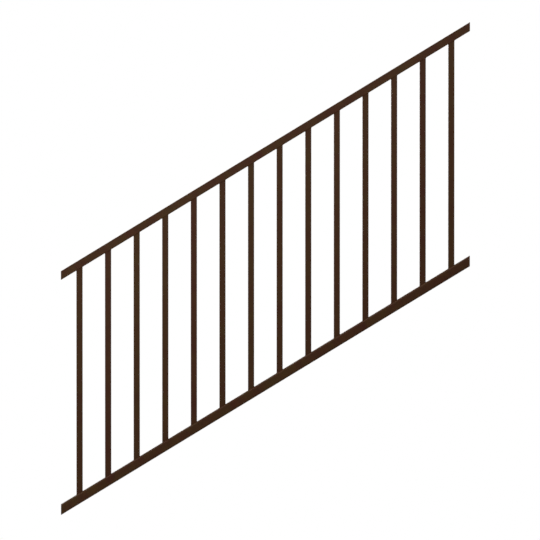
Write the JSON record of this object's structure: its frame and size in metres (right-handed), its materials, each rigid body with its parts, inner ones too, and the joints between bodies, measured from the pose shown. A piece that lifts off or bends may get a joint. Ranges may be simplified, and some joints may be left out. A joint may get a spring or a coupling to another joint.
{
  "type": "raked stair railing section",
  "caption": "Raked stair railing panel of welded square tube, with sloping top and bottom rails cut plumb at the ends and upright balusters between them.",
  "frame": {"origin": "middle of the plumb-cut face at the low end of the bottom rail, where the lower post stands", "axes": "+X level and up the stair, along the panel's run; +Y through the panel, from its front face to its back; +Z plumb up, along the balusters"},
  "size_m": [1.7018, 0.0382, 2.0519],
  "materials": {
    "bottom_rail_coat": "fine textured dark bronze powder coat",
    "top_rail_coat": "fine textured dark bronze powder coat",
    "baluster_coat": "fine textured dark bronze powder coat",
    "weld_coat": "fine textured dark bronze powder coat"
  },
  "bodies": {
    "root": {"bottom_rail": "bottom_rail_coat", "top_rail": "top_rail_coat", "baluster_01": "baluster_coat", "baluster_02": "baluster_coat", "baluster_03": "baluster_coat", "baluster_04": "baluster_coat", "baluster_05": "baluster_coat", "baluster_06": "baluster_coat", "baluster_07": "baluster_coat", "baluster_08": "baluster_coat", "baluster_09": "baluster_coat", "baluster_10": "baluster_coat", "baluster_11": "baluster_coat", "baluster_12": "baluster_coat", "baluster_13": "baluster_coat", "baluster_14": "baluster_coat", "bottom_welds": "weld_coat", "top_welds": "weld_coat"}
  },
  "joints": []
}
